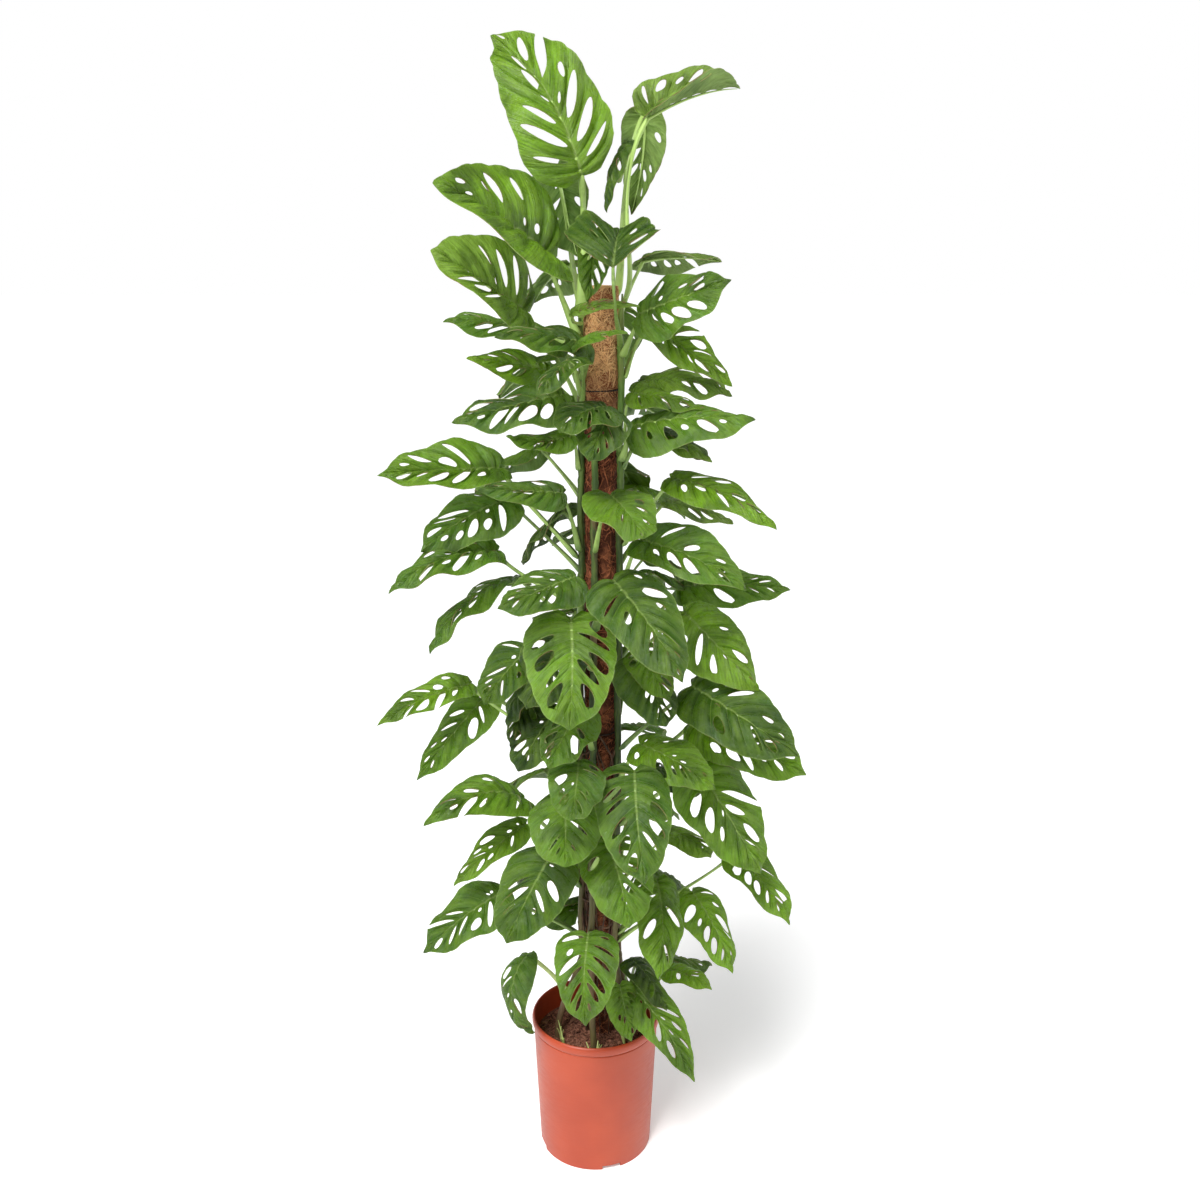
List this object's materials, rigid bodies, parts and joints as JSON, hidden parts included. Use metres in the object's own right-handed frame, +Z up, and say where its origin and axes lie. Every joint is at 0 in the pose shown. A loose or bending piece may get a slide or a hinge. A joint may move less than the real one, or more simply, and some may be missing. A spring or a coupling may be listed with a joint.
{
  "type": "potted swiss cheese plant on a coir pole",
  "caption": "Tall climbing aroid with perforated heart-shaped leaves, trained up a coir pole in a round terracotta-coloured nursery pot.",
  "frame": {"origin": "on the ground under the middle of the pot", "axes": "+Z up along the pole; -Y towards the front of the plant, where most of its leaves face; +X to the right as seen from the front"},
  "size_m": [0.7495, 0.5905, 1.999],
  "materials": {
    "pot_plastic": "moulded, dull sheen, terracotta orange",
    "potting_soil": "coarse, matt, dark brown",
    "stake_wood": "raw, matt",
    "coir_fibre": "tangled coconut fibre, matt, reddish brown",
    "binding_cord": "thin dark cord, matt",
    "plant_stem": "smooth, satin, olive green",
    "plant_leaf": "leathery, satin, mid green with paler veins"
  },
  "bodies": {
    "root": {"pot": "pot_plastic", "soil": "potting_soil", "pole_stake": "stake_wood", "pole_coir": "coir_fibre", "pole_binding_1": "binding_cord", "pole_binding_2": "binding_cord", "pole_binding_3": "binding_cord", "stem_front": "plant_stem", "stem_left": "plant_stem", "stem_rear_left": "plant_stem", "stem_rear_right": "plant_stem", "stem_right": "plant_stem", "leaf_01": "plant_leaf", "leaf_02": "plant_leaf", "leaf_03": "plant_leaf", "leaf_04": "plant_leaf", "leaf_05": "plant_leaf", "leaf_06": "plant_leaf", "leaf_07": "plant_leaf", "leaf_08": "plant_leaf", "leaf_09": "plant_leaf", "leaf_10": "plant_leaf", "leaf_11": "plant_leaf", "leaf_12": "plant_leaf", "leaf_13": "plant_leaf", "leaf_14": "plant_leaf", "leaf_15": "plant_leaf", "leaf_16": "plant_leaf", "leaf_17": "plant_leaf", "leaf_18": "plant_leaf", "leaf_19": "plant_leaf", "leaf_20": "plant_leaf", "leaf_21": "plant_leaf", "leaf_22": "plant_leaf", "leaf_23": "plant_leaf", "leaf_24": "plant_leaf", "leaf_25": "plant_leaf", "leaf_26": "plant_leaf", "leaf_27": "plant_leaf", "leaf_28": "plant_leaf", "leaf_29": "plant_leaf", "leaf_30": "plant_leaf", "leaf_31": "plant_leaf", "leaf_32": "plant_leaf", "leaf_33": "plant_leaf", "leaf_34": "plant_leaf", "leaf_35": "plant_leaf", "leaf_36": "plant_leaf", "leaf_37": "plant_leaf", "leaf_38": "plant_leaf", "leaf_39": "plant_leaf", "leaf_40": "plant_leaf", "leaf_41": "plant_leaf", "leaf_42": "plant_leaf", "leaf_43": "plant_leaf", "leaf_44": "plant_leaf", "leaf_45": "plant_leaf", "leaf_46": "plant_leaf", "leaf_47": "plant_leaf", "leaf_48": "plant_leaf"}
  },
  "joints": []
}
